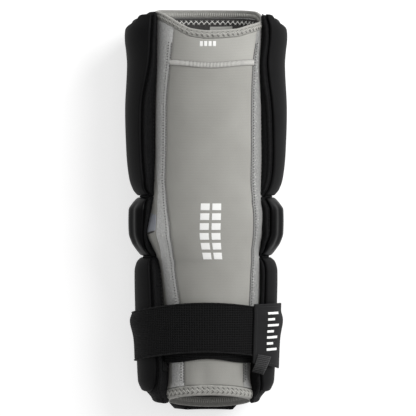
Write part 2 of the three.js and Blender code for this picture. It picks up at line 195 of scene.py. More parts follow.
def shifted(line, by):
    return lambda at: line(at) + by


# Shares from 0 to 1 along a length, closer together at rounded ends, and the share of the full
# thickness at each one
def spanSteps(length, edge, count):
    turns = np.radians([18, 36, 54, 72])
    near = edge * (1 - np.cos(turns))
    near = near - near[0]
    inside = np.linspace(edge, length - edge, max(2, count))
    shares = np.concatenate([near, inside, length - near[::-1]]) / length
    factor = np.sin(turns)
    return shares, np.concatenate([factor, np.ones(len(inside)), factor[::-1]])


def addObject(name, data):
    thing = bpy.data.objects.new(name, data)
    bpy.context.scene.collection.objects.link(thing)
    return thing


# Points are in millimetres, from the wrist end. kinds gives each face's material, and spots each
# point's place on the flat cloth.
def toMesh(name, points, faces, kinds, materials, spots=None):
    mesh = bpy.data.meshes.new(name)
    mesh.from_pydata((points + [0, wristEnd, 0]) * mm, [], faces)
    for material in materials:
        mesh.materials.append(material)
    mesh.polygons.foreach_set("material_index", kinds)
    mesh.polygons.foreach_set("use_smooth", [True] * len(faces))
    if spots is not None:
        cloth = mesh.uv_layers.new(name="cloth")
        loops = np.zeros(len(mesh.loops), np.int32)
        mesh.loops.foreach_get("vertex_index", loops)
        cloth.data.foreach_set("uv", spots[loops].astype(np.float32).ravel())
    mesh.validate()
    piece = addObject(name, mesh)
    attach(piece, body)
    return piece


# A closed wall between two grids of points, which are (across, along, 3) arrays
def wallMesh(name, outer, inner, materials, spots, ring=False):
    across, along = outer.shape[:2]
    count = across * along
    grid = np.arange(count).reshape(across, along)
    i = np.arange(across if ring else across - 1)
    a, b = grid[i], grid[(i + 1) % across]
    edgeFaces = lambda p, q: np.stack([p, q, q + count, p + count], -1)
    face = [np.stack([a[:, :-1], b[:, :-1], b[:, 1:], a[:, 1:]], -1).reshape(-1, 4),
            np.stack([a[:, :-1], a[:, 1:], b[:, 1:], b[:, :-1]], -1).reshape(-1, 4) + count,
            edgeFaces(b[:, 0], a[:, 0]), edgeFaces(a[:, -1], b[:, -1])]
    if not ring:
        face += [edgeFaces(grid[0, :-1], grid[0, 1:]), edgeFaces(grid[-1, 1:], grid[-1, :-1])]
    kinds = np.concatenate([np.full(len(f), int(k == 1 and len(materials) > 1))
                            for k, f in enumerate(face)])  # the inner side has its own cloth
    faces = np.concatenate(face)
    points = np.concatenate([outer.reshape(-1, 3), inner.reshape(-1, 3)])
    corners = points[faces]
    normal = np.cross(corners[:, 1] - corners[:, 0], corners[:, 2] - corners[:, 0])
    if (corners[:, 0] * normal).sum() < 0:
        faces = faces[:, ::-1]
    spots = np.concatenate([spots.reshape(-1, 2)] * 2)
    return toMesh(name, points, faces.tolist(), kinds, materials, spots)


# A wall that lies on one of the surfaces. fromAngle and toAngle are functions of the height,
# lowLine and highLine of the angle. out is the depth of its middle, edge how far its edges are
# rounded, and relief(y, angle) a height that its outer side gets on top, and its inner side too
# unless follow is 0. radius turns degrees into millimetres of cloth.
def layer(name, surface, fromAngle, toAngle, lowLine, highLine, out, thick, materials, cells,
          edge=None, ring=False, radius=46, relief=lambda y, angle: 0, follow=1):
    edge = edge or thick / 2
    middle = (lowLine(180) + highLine(180)) / 2
    width = math.radians(abs(toAngle(middle) - fromAngle(middle))) * radius
    length = highLine(180) - lowLine(180)
    u, fu = spanSteps(width, edge, cells[0])
    v, fv = spanSteps(length, edge, cells[1])
    if ring:
        u, fu = np.arange(cells[0]) / cells[0], np.ones(cells[0])
    uGrid, vGrid = np.meshgrid(u, v, indexing="ij")
    y = lowLine(180) + vGrid * length
    for _ in range(5):  # slanted ends and sides depend on each other, and these rounds settle them
        angle = fromAngle(y) + uGrid * (toAngle(y) - fromAngle(y))
        y = lowLine(angle) + vGrid * (highLine(angle) - lowLine(angle))
    share = np.minimum(fu[:, None], fv[None, :])
    raised = relief(y, angle) * np.clip(share * 1.2 - 0.2, 0, 1)
    outer = surface(y, angle, out + thick / 2 * share + raised)
    inner = surface(y, angle, out - thick / 2 * share + raised * follow)
    spots = np.stack([np.radians(angle) * radius, y], -1)
    return wallMesh(name, outer, inner, materials, spots, ring)


# Faces of a tube that is made of rings, with both ends closed
def ringFaces(rows, sides):
    pairs = [(row * sides + k, row * sides + (k + 1) % sides)
             for row in range(rows - 1) for k in range(sides)]
    ends = [list(range(sides))[::-1], [(rows - 1) * sides + k for k in range(sides)]]
    return [[a, b, b + sides, a + sides] for a, b in pairs] + ends


# Many small round-ended stitches as one mesh. ends is a list of (start, end) points, thick their
# width.
def stitchMesh(name, ends, thick, material):
    sides, turns = 6, np.radians([8, 50, 90, 130, 172])
    oneStitch = ringFaces(len(turns), sides)
    ends = np.asarray(ends, float)
    along = ends[:, 1] - ends[:, 0]
    axis = along / np.linalg.norm(along, axis=1, keepdims=True)
    side = np.cross(axis, [0.13, 0.21, 1.0])  # a direction in which no stitch runs
    side /= np.linalg.norm(side, axis=1, keepdims=True)
    up = np.cross(axis, side)
    points = []
    for turn in turns:
        centre = ends.mean(1) - along / 2 * math.cos(turn)
        for angle in np.arange(sides) * 2 * math.pi / sides:
            reach = thick / 2 * math.sin(turn)
            points.append(centre + reach * (side * math.cos(angle) + up * math.sin(angle)))
    points = np.stack(points, 1)
    per = len(turns) * sides
    faces = [[c + n * per for c in f] for n in range(len(ends)) for f in oneStitch]
    return toMesh(name, points.reshape(-1, 3), faces, [0] * len(faces), [material])


# A round tape or cord along a line of points, thinner at both ends
def tubeMesh(name, line, radius, material, sides=10):
    line = np.asarray(line, float)
    along = np.gradient(line, axis=0)
    along /= np.linalg.norm(along, axis=1, keepdims=True)
    side = np.cross(along, [0.0, 0.0, 1.0])
    side /= np.linalg.norm(side, axis=1, keepdims=True)
    up = np.cross(side, along)
    row = np.arange(len(line))
    swell = np.sqrt(np.clip(np.minimum(row, row[::-1]) / 2.5, 0.15, 1))[:, None]
    ring = np.arange(sides) * 2 * math.pi / sides
    points = np.stack([line + radius * swell * (side * math.cos(a) + up * math.sin(a))
                       for a in ring], 1)
    faces = ringFaces(len(line), sides)
    spots = np.stack(np.broadcast_arrays(ring[None, :] * radius, line[:, 1:2]), -1).reshape(-1, 2)
    return toMesh(name, points.reshape(-1, 3), faces, [0] * len(faces), [material], spots)


# Materials
def linear(colour):
    parts = [int(colour[k:k + 2], 16) / 255 for k in (1, 3, 5)]
    return [p / 12.92 if p <= 0.04045 else ((p + 0.055) / 1.055) ** 2.4 for p in parts] + [1]


def addNode(tree, kind, settings=None, links=None):
    node = tree.nodes.new(kind)
    for key, value in (settings or {}).items():
        if isinstance(key, str) and hasattr(node, key):
            setattr(node, key, value)
        else:
            node.inputs[key].default_value = value
    for key, source in (links or {}).items():
        tree.links.new(source, node.inputs[key])
    return node


def newMaterial(name, settings):
    material = bpy.data.materials.new(name)
    material.use_nodes = True
    tree = material.node_tree
    shader = tree.nodes["Principled BSDF"]
    for key, value in settings.items():
        shader.inputs[key].default_value = value
    return material, tree, shader


# The base colour, from one tone at factor start to the other at factor stop
def coloured(tree, shader, factor, low, high, start=0.35, stop=0.7):
    ramp = addNode(tree, "ShaderNodeValToRGB", links={"Fac": factor})
    for end, place, tone in zip(ramp.color_ramp.elements, (start, stop), (low, high)):
        end.position = place
        end.color = linear(tone)
    tree.links.new(ramp.outputs["Color"], shader.inputs["Base Color"])


def maths(tree, operation, *values):
    numbers = {k: value for k, value in enumerate(values) if isinstance(value, float)}
    links = {k: value for k, value in enumerate(values) if k not in numbers}
    return addNode(tree, "ShaderNodeMath", {"operation": operation, **numbers}, links).outputs[0]


def bumped(tree, shader, height, distance, under=None):
    links = {"Height": height}
    if under is not None:
        links["Normal"] = under
    node = addNode(tree, "ShaderNodeBump", {"Distance": distance * mm, "Strength": 1.0}, links)
    tree.links.new(node.outputs["Normal"], shader.inputs["Normal"])
    return node.outputs["Normal"]


# Sines of the cloth's own two directions, in millimetres across and along, one per pitch
def clothWaves(tree, pitchAcross, pitchAlong):
    where = addNode(tree, "ShaderNodeUVMap", {"uv_map": "cloth"})
    split = addNode(tree, "ShaderNodeSeparateXYZ", links={0: where.outputs["UV"]})
    return [maths(tree, "SINE", maths(tree, "MULTIPLY", split.outputs[axis], 2 * math.pi / pitch))
            for axis, pitch in (("X", pitchAcross), ("Y", pitchAlong))]


# Noise in the object's own space, with a grain size in millimetres
def grain(tree, size, detail=2.0, roughness=0.5):
    where = addNode(tree, "ShaderNodeTexCoord")
    return addNode(tree, "ShaderNodeTexNoise", {"Scale": 1 / (size * mm), "Detail": detail,
                                                "Roughness": roughness},
                   {"Vector": where.outputs["Object"]}).outputs["Fac"]


# Stretch jersey laminated on neoprene: a fine even knit that scatters light softly, with faint
# courses across it. The real stitches are 0.5 mm apart, and 1.3 mm is what the picture can show.
def neopreneJersey(name, low, high, coursePitch=1.3):
    material, tree, shader = newMaterial(name, {"Roughness": 0.88, "Sheen Weight": 0.08,
                                                "Sheen Roughness": 0.5, "IOR": 1.4})
    across, along = clothWaves(tree, coursePitch * 0.8, coursePitch)
    courses = maths(tree, "MULTIPLY_ADD", along, 0.35, maths(tree, "MULTIPLY", across, along))
    cloud, fibre = grain(tree, 30), grain(tree, 0.7)
    shade = maths(tree, "MULTIPLY_ADD", courses, 0.05, cloud)
    shade = maths(tree, "MULTIPLY_ADD", fibre, 0.25, shade)
    coloured(tree, shader, shade, low, high, 0.3, 0.95)
    bumped(tree, shader, courses, 0.05)
    return material


# Cloth with raised fibres, many on brushed loop and few on hems: they make it paler, speckled and
# quite without gloss. size is the grain in millimetres, drawn coarser than real fibres.
def nappedCloth(name, low, high, size, depth):
    material, tree, shader = newMaterial(name, {"Roughness": 0.95, "Sheen Weight": 0.12,
                                                "Sheen Roughness": 0.6})
    fluff = grain(tree, size, 4, 0.65)
    coloured(tree, shader, fluff, low, high, 0.32, 0.68)
    bumped(tree, shader, fluff, depth)
    return material


# Black polyester knit over foam: a little sheen at grazing angles and small soft dents
def paddingKnit(name, low, high):
    material, tree, shader = newMaterial(name, {"Roughness": 0.85, "Sheen Weight": 0.02,
                                                "Sheen Roughness": 0.45, "IOR": 1.25})
    dents = grain(tree, 9, 3)
    mesh = grain(tree, 1.1, 2)
    coloured(tree, shader, mesh, low, high)
    bumped(tree, shader, mesh, 0.25, under=bumped(tree, shader, dents, 1.6))
    return material


# Injection-moulded polyethylene: even and dark, with the fine spark-eroded grain of its mould
def mouldedShell(name, low, high, roughness, coat=0.0, ior=1.2):
    material, tree, shader = newMaterial(name, {"Roughness": roughness, "IOR": ior,
                                                "Coat Weight": coat, "Coat Roughness": 0.3})
    cloud = grain(tree, 22, 3)
    sparks = grain(tree, 0.6, 2)
    coloured(tree, shader, cloud, low, high)
    rough = addNode(tree, "ShaderNodeMapRange", {"To Min": roughness - 0.05,
                                                 "To Max": roughness + 0.06}, {"Value": cloud})
    tree.links.new(rough.outputs["Result"], shader.inputs["Roughness"])
    bumped(tree, shader, sparks, 0.03)
    return material


# Woven elastic: rubber cores under a polyester weave that leaves rows of small square pits, which are
# coloured darker as painted shade. They are about 1 mm apart on a real one, and 2 mm is what the
# picture can show.
def wovenElastic(name, low, high, pitch):
    material, tree, shader = newMaterial(name, {"Roughness": 0.85, "Sheen Weight": 0.02,
                                                "Sheen Roughness": 0.4, "IOR": 1.3})
    across, along = clothWaves(tree, pitch * 2, pitch * 2)
    pits = maths(tree, "ABSOLUTE", maths(tree, "MULTIPLY", across, along))
    depth = maths(tree, "MULTIPLY_ADD", grain(tree, 2.4, 3), 0.45, pits)
    # the colour darkens towards black where the pits are: painted shade in the pits
    coloured(tree, shader, depth, low, high, 0.25, 0.95)
    bumped(tree, shader, depth, 0.5)
    return material


# Spun polyester thread: slightly glossy and of one colour
def sewingThread(name, colour):
    material, tree, shader = newMaterial(name, {"Roughness": 0.7, "Sheen Weight": 0.05})
    twist = grain(tree, 0.4, 1)
    coloured(tree, shader, twist, colour, colour)
    bumped(tree, shader, twist, 0.05)
    return material


print("materials")
jersey = neopreneJersey("greyNeopreneJersey", "#969590", "#a2a19c")
cuffJersey = neopreneJersey("greyCuffJersey", "#a09f9a", "#abaaa5")
sideJersey = neopreneJersey("warmGreySideJersey", "#8f8e89", "#a09f9a")
meshGusset = neopreneJersey("blueGreyStretchGusset", "#858890", "#9699a1", 0.9)
# The two brushed strips are one fabric in two tones: the left one's colour has painted light and the
# right one's painted shade, as lit and shaded copies.
brushed = nappedCloth("greyBrushedLoopPaintedLight", "#ababaa", "#d2d2d0", 1.3, 0.35)
brushedPaintedShade = nappedCloth("greyBrushedLoopPaintedShade", "#7e7e7d", "#a0a09e", 1.3, 0.35)
hemCloth = nappedCloth("greyTurnedHem", "#908f8a", "#a9a8a3", 1.2, 0.15)
fleece = nappedCloth("charcoalFleece", "#2b2a29", "#403f3e", 1.0, 0.5)
padding = paddingKnit("blackPaddingKnit", "#050506", "#161617")
binding = paddingKnit("blackBindingTape", "#09090a", "#151516")
shellPlastic = mouldedShell("blackMouldedPolyethylene", "#0a0a0b", "#111112", 0.64)
capPlastic = mouldedShell("satinBlackMouldedCap", "#060607", "#0a0a0b", 0.43, 0.03, 1.16)
elastic = wovenElastic("blackWovenElastic", "#131314", "#000000", 2.0)
selvedge = wovenElastic("elasticSelvedge", "#1c1c1d", "#0e0e0e", 1.0)
ribElastic = nappedCloth("blackRibbedElastic", "#1c1c1d", "#2e2e2f", 0.8, 0.2)
tabSkin = mouldedShell("blackCoatedTab", "#1c1c1d", "#232324", 0.6)
tagCloth = neopreneJersey("paleTagSatin", "#a0a09c", "#b4b4b0", 0.8)
paleThread = sewingThread("paleGreyThread", "#d8d7d3")
hemThread = sewingThread("greyHemThread", "#b4b3ae")
holeThread = sewingThread("shadedHemThread", "#5f5e5b")
darkThread = sewingThread("darkGreyThread", "#3c3b39")
whiteThread = sewingThread("whiteThread", "#dcdcd8")
loopThread = sewingThread("brushedLoopFibre", "#d2d2d0")
hemInside = nappedCloth("shadedHemInside", "#7b7a76", "#908f8b", 1.2, 0.15)
linedHem = nappedCloth("shadedFlatlockTape", "#7d7c78", "#92918d", 1.2, 0.1)
blackThread = sewingThread("blackThread", "#1d1d1e")
printInk = sewingThread("whiteScreenPrint", "#f4f4f2")


# The sleeve
sleeve = {
    "seamGap": 0.12,  # degrees that each panel stops short of a seam
    "seamDip": 0.7,  # how far a panel sinks beside its needle line
    "seamDipWidth": 2.2,  # degrees
    "wave": 0.22,  # height of the cloth's slow waves
    "flare": 4.0, "flareFrom": 29, "flareReach": 15,  # the sides stand out at the wrist end
    "cuffSag": 3.6,  # the cuff's seam hangs this much lower at the front's middle
}
# Its folds: a height, then middle and width in degrees round the sleeve and in mm along it
folds = [
    (-0.8, 188, 8, 32, 13),  # the crease above the wrist hem, and the pulled cloth beside it
    (0.6, 205, 9, 26, 12),
    (0.5, 165, 8, 24, 9),
    (1.8, 256, 22, 153, 12),  # the elbow's two sides
    (1.6, 100, 22, 166, 13),
    (1.2, 100, 24, 104, 26),  # beside the forearm's padding
]


def sleeveWaves(y, angle):
    turn, around = angle % 360, np.radians(angle)
    slow = np.sin(y / 23 + 1.3 * np.sin(2.1 * around)) * np.sin(3.1 * around + y / 61)
    sides = bump(turn, 258, 30) + 0.9 * bump(turn, 104, 30)
    flare = sleeve["flare"] * sides * smoothStep((sleeve["flareFrom"] - y) / sleeve["flareReach"])
    total = sleeve["wave"] * slow + flare
    for height, middle, width, place, reach in folds:
        total = total + height * bump(turn, middle, width) * bump(y, place, reach)
    return total


def seamLine(name):
    return lambda y: seamAt(name, y)


leftStripLine, leftSeamLine, rightSeamLine, rightStripLine = [
    seamLine(name) for name in ("stripLeft", "seamLeft", "seamRight", "stripRight")]


def seamDips(y, angle):
    dips = [bump(angle, line(y), sleeve["seamDipWidth"]) for line in (leftSeamLine, rightSeamLine)]
    return -sleeve["seamDip"] * (dips[0] + dips[1])


def wristLine(angle):
    return wristRim(angle) + form["wristHem"]


def upperLine(angle):
    return upperRim(angle) - form["upperHem"]


cuffY = float(upperRim(180)) - form["cuffHeight"]


def cuffLine(angle):
    return cuffY - sleeve["cuffSag"] * bump(angle, 178, 34) + 0.7


def makeSleeve():
    gap, thick = sleeve["seamGap"], form["fabric"]
    relief = lambda y, angle: sleeveWaves(y, angle) + seamDips(y, angle)
    # name, node and slot, then the lines at its two sides and its two ends, cloth, cells, flat size
    panels = [
        ("jersey_front", "front_panel", "stretch_fabric", rightSeamLine, leftSeamLine,
         wristLine, shifted(cuffLine, -0.05), jersey, (90, 200), (0.08, 0.274)),
        ("jersey_cuff", "cuff_panel", "stretch_fabric", rightSeamLine, leftSeamLine,
         shifted(cuffLine, 0.05), upperLine, cuffJersey, (90, 24), (0.078, 0.025)),
        # the right strip has the brushed fabric with painted shade, the left one the copy with
        # painted light
        ("brushed_strip_right", "side_strip_right", "brushed_fabric", rightStripLine,
         rightSeamLine, wristLine, upperLine, brushedPaintedShade, (20, 220), (0.021, 0.303)),
        ("brushed_strip_left", "side_strip_left", "brushed_fabric", leftSeamLine, leftStripLine,
         wristLine, upperLine, brushed, (22, 220), (0.019, 0.302)),
        ("jersey_back", "sleeve_back", "sleeve_lining", shifted(leftStripLine, -360),
         rightStripLine, wristLine, upperLine, sideJersey, (80, 120), (0.155, 0.31)),
    ]
    for name, node, slotName, fromLine, toLine, low, high, cloth, cells, flat in panels:
        piece = layer(name, sleevePoint, shifted(fromLine, gap), shifted(toLine, -gap), low, high,
                      -thick / 2, thick, [cloth, fleece], cells=cells, edge=0.5, relief=relief)
        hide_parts(node)


def makeHems():
    hems = {"proud": 0.35, "ripple": 0.12, "edge": 1.4}
    relief = lambda y, angle: hems["ripple"] * np.sin(np.radians(24 * angle)) + sleeveWaves(y, angle)
    for name, node, low, high, inside in (
            ("hem_upper", "upper_hem", shifted(upperLine, 0.1), upperRim, linedHem),
            ("hem_wrist", "wrist_hem", wristRim, shifted(wristLine, -0.1), hemInside)):
        piece = layer(name, sleevePoint, level(0), level(360), low, high, -form["fabric"] / 2,
                      form["fabric"] + 2 * hems["proud"], [hemCloth, inside], ring=True,
                      cells=(300, 12), edge=hems["edge"], relief=relief)
        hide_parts(node)


def makeTag():
    tag = {"below": 14.5, "length": 34, "from": 0.5, "to": 27.5, "inside": 0.9, "thick": 0.5}
    top = sleeveEnd - tag["below"]
    piece = layer("size_tag_bare", sleevePoint, level(tag["from"]), level(tag["to"]),
                  level(top - tag["length"]), level(top), -form["fabric"] - tag["inside"],
                  tag["thick"], [tagCloth], cells=(24, 30),
                  relief=lambda y, angle: -0.5 * bump(angle, 14, 9))  # its middle bows inwards
    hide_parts("size_tag")


# Stitches
def onSleeve(y, angle, out):
    y, angle = np.asarray(y, float), np.asarray(angle, float)
    return sleevePoint(y, angle, out + sleeveWaves(y, angle))


# A row of slanted stitches round part of the sleeve: zigzag, or with one slant only
def slantedRow(name, line, fromAngle, toAngle, count, height, out, thick, material, lean=0.5,
               slants=(1, -1)):
    step = (toAngle - fromAngle) / count
    angles = fromAngle + (np.arange(count) + 0.25) * step
    ends = []
    for k, slant in enumerate(slants):
        a, over = angles + k * step / 2, lean * step / 2 * slant
        start = onSleeve(line(a) - height / 2, a - over, out)
        stop = onSleeve(line(a) + height / 2, a + over, out)
        ends.append(np.stack([start, stop], 1))
    stitchMesh(name, np.concatenate(ends), thick, material)


# The two ends of each stitch along a line of points, which fills a share of its step
def dashes(points, fill):
    start, stop = points[:-1], points[1:]
    middle, reach = (start + stop) / 2, (stop - start) / 2 * fill
    return np.stack([middle - reach, middle + reach], 1)


def makeStitches():
    innerOut = -form["fabric"] - 0.55
    for end, rim, way, height, count in (("upper", upperRim, -1, form["upperHem"], 66),
                                         ("wrist", wristRim, 1, form["wristHem"], 52)):
        at = lambda share: (lambda angle: rim(angle) + way * height * share)
        # name, place and height as shares of the hem, angles, out, thickness, thread, lean, slants
        for name, share, tall, fromAngle, toAngle, out, thick, thread, lean, slants in (
                (f"cover_stitch_{end}", 0.5, 0.42, 0, 360, 0.62, 0.85, hemThread, 0.9, (1, -1)),
                (f"cover_holes_{end}_low", 0.72, 0.2, 0, 360, 0.5, 0.8, holeThread, 0.5, (1,)),
                (f"cover_holes_{end}_high", 0.3, 0.2, 1, 361, 0.5, 0.8, holeThread, 0.5, (-1,)),
                (f"cover_stitch_{end}_inside", 0.6, 0.42, -84, 84, innerOut, 0.9, hemThread, 0.3,
                 (1,))):
            slantedRow(name, at(share), fromAngle, toAngle, count, height * tall, out, thick,
                       thread, lean, slants)
    slantedRow("white_zigzag_inside", shifted(upperRim, -11), -80, 80, 26, 4.0,
               -form["fabric"] - 0.35, 0.7, whiteThread, 1.0)
    pitch = 2.3
    ys = np.arange(wristLine(180) + 1.0, upperLine(180) - 1.0, pitch)
    for name, line, off in (("left", leftSeamLine, 4.2), ("right", rightSeamLine, -2.7)):
        needle = dashes(onSleeve(ys, line(ys), -0.1), 0.86)
        stitchMesh(f"needle_line_{name}", needle, 0.62, darkThread)
        holes = dashes(onSleeve(ys + 1.1, line(ys) + off, 0.25), 0.4)
        stitchMesh(f"strip_holes_{name}", holes, 1.1, darkThread)
    makeFlecks()
    makeCuffSeam()


# Pale loops that stand out of the brushed strips
def makeFlecks():
    chance = np.random.default_rng(7)
    ends = []
    for line, fromTurn, toTurn, count in ((leftSeamLine, 4, 10.5, 260),
                                          (rightSeamLine, -8, -3.2, 160)):
        ys = chance.uniform(wristLine(180) + 2, upperLine(180) - 2, count)
        angles = line(ys) + chance.uniform(fromTurn, toTurn, count)
        start = onSleeve(ys, angles, 0.1)
        stop = onSleeve(ys + chance.uniform(0.4, 1.1, count),
                        angles + chance.uniform(-0.7, 0.7, count), 0.45)
        ends.append(np.stack([start, stop], 1))
    loops = stitchMesh("brushed_loops", np.concatenate(ends), 0.6, loopThread)


# The cuff's flatlock seam: a low band of close upright threads between two edge cords
def makeCuffSeam():
    band = {"height": 4.6, "pitch": 1.2, "out": 0.5, "thick": 0.74, "inset": 0.8, "margin": 0.3,
            "radius": 46}
    low = float(rightSeamLine(cuffY)) + band["inset"]
    high = float(leftSeamLine(cuffY)) - band["inset"]
    angles = np.arange(low, high, math.degrees(band["pitch"] / band["radius"]))
    half = band["height"] / 2
    start = onSleeve(cuffLine(angles) - half, angles - 0.1, band["out"])
    stop = onSleeve(cuffLine(angles) + half, angles + 0.1, band["out"])
    threads = stitchMesh("flatlock_seam", np.stack([start, stop], 1), band["thick"], paleThread)
    reach = half + band["margin"]
    tape = layer("flatlock_band", sleevePoint, level(low), level(high), shifted(cuffLine, -reach),
                 shifted(cuffLine, reach), 0.25, 0.4, [linedHem], cells=(80, 5), edge=0.19,
                 relief=sleeveWaves)


# The left elbow's stretch gusset, with the fold and loose thread ends below it. The fold is a dark
# grey tube: painted shade in its crease.
def makeGusset():
    gusset = {"top": 168.5, "rise": 3, "fold": 155.5, "drop": 4.5, "thick": 0.5, "out": 0.3,
              "from": -122, "slope": 34, "to": -66, "foldRadius": 0.75}
    turn = lambda angle: np.clip((angle - gusset["from"]) / gusset["slope"], 0, 1)
    low = lambda angle: gusset["fold"] - gusset["drop"] * turn(angle)
    high = lambda angle: gusset["top"] + gusset["rise"] * turn(angle)
    piece = layer("elbow_gusset", sleevePoint, shifted(leftStripLine, 0.6 - 360),
                  level(gusset["to"]), low, high, gusset["out"], gusset["thick"], [meshGusset],
                  cells=(40, 24), edge=0.24, relief=sleeveWaves)
    angles = np.linspace(gusset["from"] + 1, gusset["to"] - 4, 30)
    line = onSleeve(low(angles) - 0.7, angles, 0.25)
    # a dark tube of thread colour along the fold: painted shade in the crease
    fold = tubeMesh("gusset_fold_painted_shade", line, gusset["foldRadius"], darkThread, sides=8)
    at = low(-96.0) - 1.5
    ends = [(onSleeve(at, -94, 0.4), onSleeve(at - 3.4, -101, 0.9)),
            (onSleeve(at - 0.6, -99, 0.5), onSleeve(at - 4.2, -103, 0.6))]
    stitchMesh("gusset_thread_ends", ends, 0.5, whiteThread)


# Plain white marks printed on the front panel: a row of dashes near the cuff and two columns
# of blocks in its middle
def makePrints():
    dash = {"low": 308.4, "high": 312.6, "from": 172.6, "to": 175.8, "pitch": 4.6, "count": 4}
    block = {"low": 131.5, "tall": 5.6, "pitch": 8.2, "rows": 6, "sides": (165.2, 176.8), "wide": 9}
    boxes = [("print_dash", dash["low"], dash["high"], dash["from"] + dash["pitch"] * k,
              dash["to"] + dash["pitch"] * k) for k in range(dash["count"])]
    for k in range(block["rows"]):
        low = block["low"] + block["pitch"] * k
        boxes += [("print_block", low, low + block["tall"], start, start + block["wide"])
                  for start in block["sides"]]
    for k, (name, low, high, start, stop) in enumerate(boxes):
        piece = layer(f"{name}_{k}", sleevePoint, level(start), level(stop), level(low), level(high),
                      0.1, 0.25, [printInk], cells=(14, 6), edge=0.12, relief=sleeveWaves)


print("sleeve")
makeSleeve()
makeGusset()
makePrints()
makeHems()
makeTag()
makeStitches()


# The shells
plates = {
    "upperInset": 2, "wristInset": 18.5,  # from the pad's two ends
    "notch": 0.9,  # half the gap between two shells
    "edge": 1.2, "groove": 0.9,  # how far the edges are rounded, and the side grooves' depth
    # degrees round the shell and how far its upper end is cut back there
    "step": np.array([[0, 0], [60, 0], [68, 9.8], [92, 9.8], [116.5, 4.8], [118.5, 0.4], [122, 0],
                      [180, 0.0]]),
    # the cap's two raised ribs on each side and the dip between: height, place and width in degrees
    "capRibs": [(0.9, 104, 5.5), (1.2, 118, 5), (-0.7, 111, 4.5)],
    # the upper shell's raised rim and the dip below it: height, mm below the upper end, width
    "rim": [(0.5, 16, 7), (-0.25, 30, 5)],
}
forearmRest = form["strap"] + form["gap"]


def tips(y, lip=0):
    more = np.degrees(lip / shellHalf(y))
    return -(track("tipLeft", y) + more), track("tipRight", y) + more


def onShell(rest):
    return lambda y, angle, out: shellPoint(y, angle, out, rest)


def steppedEnd(angle):
    cut = np.interp(np.abs(angle), plates["step"][:, 0], plates["step"][:, 1])
    return upperEnd - plates["upperInset"] - cut


# An end that curves away at the shell's two long edges, from fromTurn degrees on
def roundedCorner(line, sign, fromTurn, reach):
    over = lambda angle: np.clip((np.abs(angle) - fromTurn) / 22, 0, 1)
    return lambda angle: line(angle) + sign * reach * over(angle) ** 3


def makePlates():
    thick, notch = form["plate"], plates["notch"]
    pieces = [
        ("shell_upper", "upper_plate", 0, roundedCorner(level(elbowEnd + notch), 1, 112, 9),
         steppedEnd, shellPlastic, upperRelief, "shell_plastic", (220, 90)),
        ("shell_elbow", "elbow_cap", 0, roundedCorner(level(elbowStart + notch), 1, 108, 5),
         roundedCorner(level(elbowEnd - notch), -1, 108, 5), capPlastic, capRidges,
         "cap_plastic", (200, 60)),
        ("shell_forearm", "forearm_plate", forearmRest,
         roundedCorner(level(plates["wristInset"]), 1, 108, 7),
         roundedCorner(level(elbowStart - notch), -1, 112, 5), shellPlastic,
         lambda y, angle: -sideGrooves(y, angle, plates["wristInset"] + 16, elbowStart - 16),
         "shell_plastic", (180, 80)),
    ]
    for name, node, rest, low, high, plastic, relief, slotName, cells in pieces:
        piece = layer(name, onShell(rest), lambda y: tips(y)[0], lambda y: tips(y)[1], low, high,
                      -thick / 2, thick, [plastic], cells=cells, edge=plates["edge"], radius=62,
                      relief=relief)
        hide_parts(node)


# From 0 on the flat land that the pad lies on to 1 on the sides
def offLand(angle):
    return smoothStep((np.abs(angle) - 28) / 16)


# Two long moulded grooves on each side of a shell, which run out towards its ends
def sideGrooves(y, angle, low, high):
    turn = np.abs(angle)
    inside = smoothStep((y - low) / 10) * smoothStep((high - y) / 10)
    return plates["groove"] * inside * (bump(turn, 54, 2.4) + bump(turn, 76, 2.4))


def upperRelief(y, angle):
    rim = sum(height * bump(y, upperEnd - below, width) for height, below, width in plates["rim"])
    return offLand(angle) * rim - sideGrooves(y, angle, elbowEnd + 20, upperEnd - 38)


# The cap's ribs run up the arm and catch the light
def capRidges(y, angle):
    low, high = elbowStart + plates["notch"], elbowEnd - plates["notch"]
    inside = smoothStep((y - low) / 14) * smoothStep((high - y) / 14)
    return inside * sum(height * bump(np.abs(angle), place, width)
                        for height, place, width in plates["capRibs"])


print("shells")
makePlates()


# The padding under the shells
pads = {
    "bulge": 2.6,  # how far the face between shell and sleeve swells
    "binding": 1.3,  # the binding tape's radius
    "edge": 3.0,  # how far the foam's ends are rounded
    "tongue": 9, "tongueShare": 0.29, "cornerShare": 0.40,  # its middle reaches past the wrist
    "horn": 4, "rightHorn": 1.6, "hornShare": 0.86,  # its upper end stands high beside the mouth
    "lipLeft": 1.1, "lipRight": 1.3, "lipForearmRight": 0.65,  # shares of padLip
    "mouthReach": 62, "leftElbow": 152,  # where it reaches less past its shell
}


# How far the padding reaches past its shell: less beside the sleeve's mouth and the left elbow
def lipAt(y, hand):
    top = 1 - 0.3 * smoothStep((y - (upperEnd - pads["mouthReach"])) / 42)
    if hand < 0:
        elbow = 1 - 0.7 * bump(y, pads["leftElbow"], 16)
        return form["padLip"] * pads["lipLeft"] * top * elbow
    wider = smoothStep((y - elbowStart - 8) / 22)
    reach = pads["lipForearmRight"] + (pads["lipRight"] - pads["lipForearmRight"]) * wider
    return form["padLip"] * reach * top


def padEdge(y, hand, rest):
    left, right = tips(y, lipAt(y, hand))
    return shellPoint(y, left if hand < 0 else right, -form["plate"] - form["gap"], rest)


def valleyPoint(y, hand, share, out, rest=forearmRest):
    top = padEdge(y, hand, rest)
    foot = sleevePoint(y, hand * form["padInnerEnd"] + 0 * y, form["gap"])
    along = foot - top
    along = along / np.linalg.norm(along, axis=-1, keepdims=True)
    normal = np.stack([-hand * np.abs(along[..., 2]), 0 * y, np.abs(along[..., 0])], -1)
    return top + (foot - top) * np.expand_dims(share, -1) + normal * np.expand_dims(out, -1)


# How far the face between shell and sleeve swells at a share of its width
def faceSwell(share, y, hand):
    return 4 * share * (1 - share) * pads["bulge"] * lipAt(y, hand) / form["padLip"]


